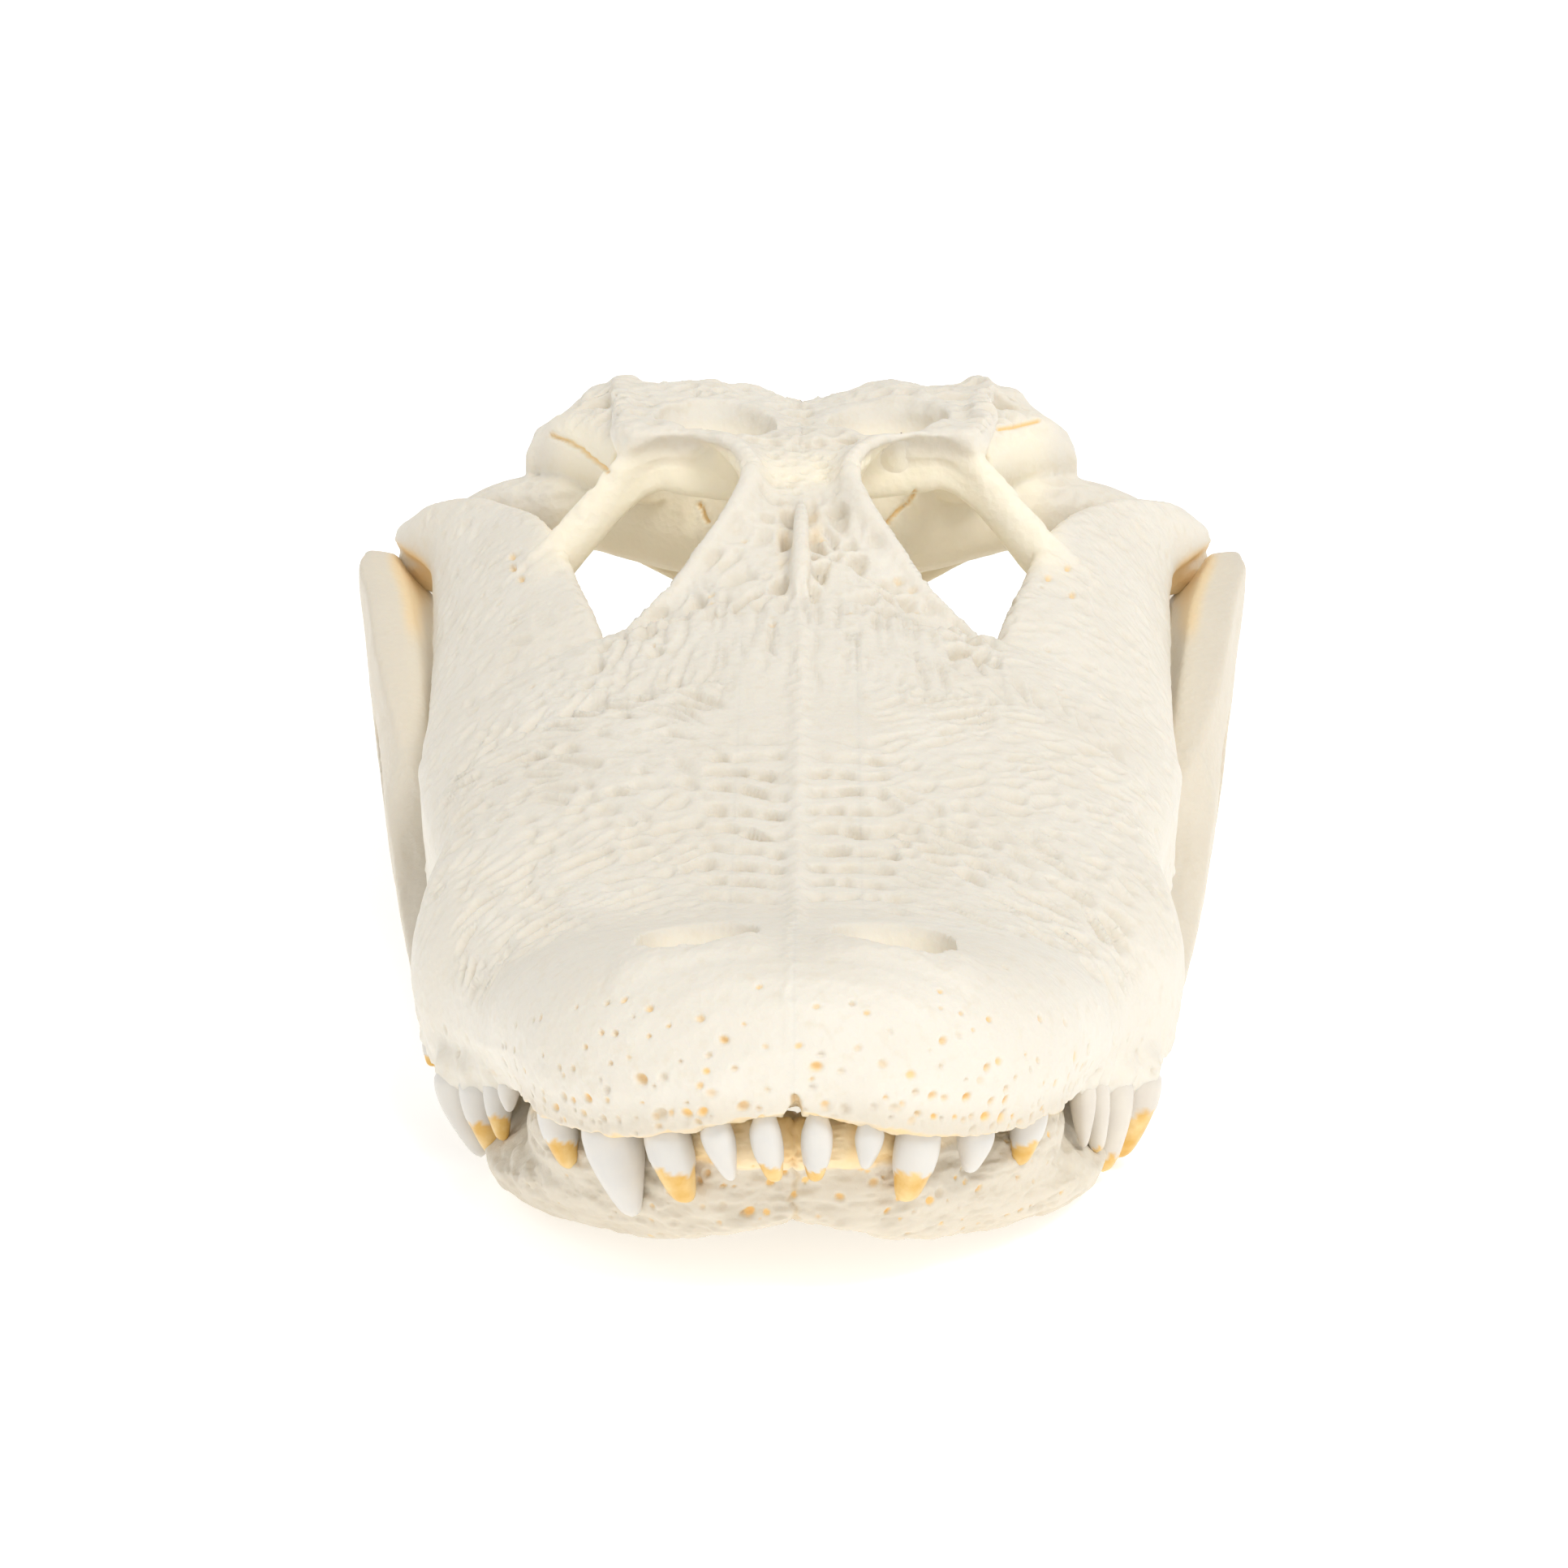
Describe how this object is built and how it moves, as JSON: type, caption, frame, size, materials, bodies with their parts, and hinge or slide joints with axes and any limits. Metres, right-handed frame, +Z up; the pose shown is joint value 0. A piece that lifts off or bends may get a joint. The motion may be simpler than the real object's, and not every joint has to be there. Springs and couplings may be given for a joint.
{
  "type": "alligator skull",
  "caption": "Cleaned skull of a large alligator with its lower jaw closed, standing on the lower jaw as a still display piece.",
  "frame": {"origin": "centre of the object's footprint, on the surface that the lower jaw stands on", "axes": "+X to the right as seen in the picture, from in front of the snout; +Y from the snout tip towards the back of the head; +Z up"},
  "size_m": [0.298, 0.5504, 0.1577],
  "materials": {
    "bone": "matte",
    "toothed_bone": "matte"
  },
  "bodies": {
    "root": {"nasals": "bone", "frontal": "bone", "palatines": "bone", "skull_table": "bone", "braincase": "bone", "pterygoids": "bone", "premaxilla_left": "toothed_bone", "premaxilla_right": "toothed_bone", "maxilla_left": "toothed_bone", "maxilla_right": "toothed_bone", "jugal_left": "bone", "jugal_right": "bone", "quadrate_left": "bone", "quadrate_right": "bone", "dentary_left": "toothed_bone", "dentary_right": "toothed_bone", "angular_left": "bone", "angular_right": "bone"}
  },
  "joints": []
}
